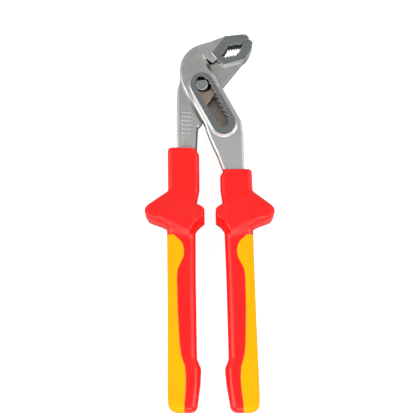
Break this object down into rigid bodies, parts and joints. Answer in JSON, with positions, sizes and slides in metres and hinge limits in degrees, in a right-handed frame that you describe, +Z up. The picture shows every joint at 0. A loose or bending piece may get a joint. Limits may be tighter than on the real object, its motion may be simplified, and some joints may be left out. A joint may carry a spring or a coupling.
{
  "type": "tongue and groove pliers",
  "caption": "Tongue and groove pliers with a slotted lever, a through lever on an adjustable hinge bolt, angled toothed jaws and two-colour insulated guard handles.",
  "frame": {"origin": "middle of the tool's footprint, on the plane that the backs of the hand guards rest on", "axes": "+Y along the tool from the handle ends to the jaws, +X across the handles towards the slotted lever's handle, +Z up out of the rest plane"},
  "size_m": [0.084, 0.2485, 0.026],
  "materials": {
    "forged_steel": "satin blasted chrome vanadium steel with ground faces",
    "bolt_steel": "ground",
    "red_grip": "moulded, semi-matt",
    "yellow_pad": "moulded, soft, matt",
    "liner": "moulded"
  },
  "bodies": {
    "slotted_side": {"slotted_lever": "forged_steel", "right_inner_liner": "liner", "right_grip": "red_grip", "right_soft_pad": "yellow_pad"},
    "bolt": {"hinge_bolt": "bolt_steel"},
    "through_side": {"through_lever": "forged_steel", "left_inner_liner": "liner", "left_grip": "red_grip", "left_soft_pad": "yellow_pad"}
  },
  "joints": [
    {"name": "bolt_slide", "type": "slide", "parent": "slotted_side", "child": "bolt", "axis": [0.4787, -0.878, 0], "range_m": [0, 0.021]},
    {"name": "jaw_hinge", "type": "hinge", "parent": "bolt", "child": "through_side", "pos_m": [-0.0053, 0.0892, 0.013], "axis": [0, 0, -1], "range_deg": [0, 30]}
  ]
}
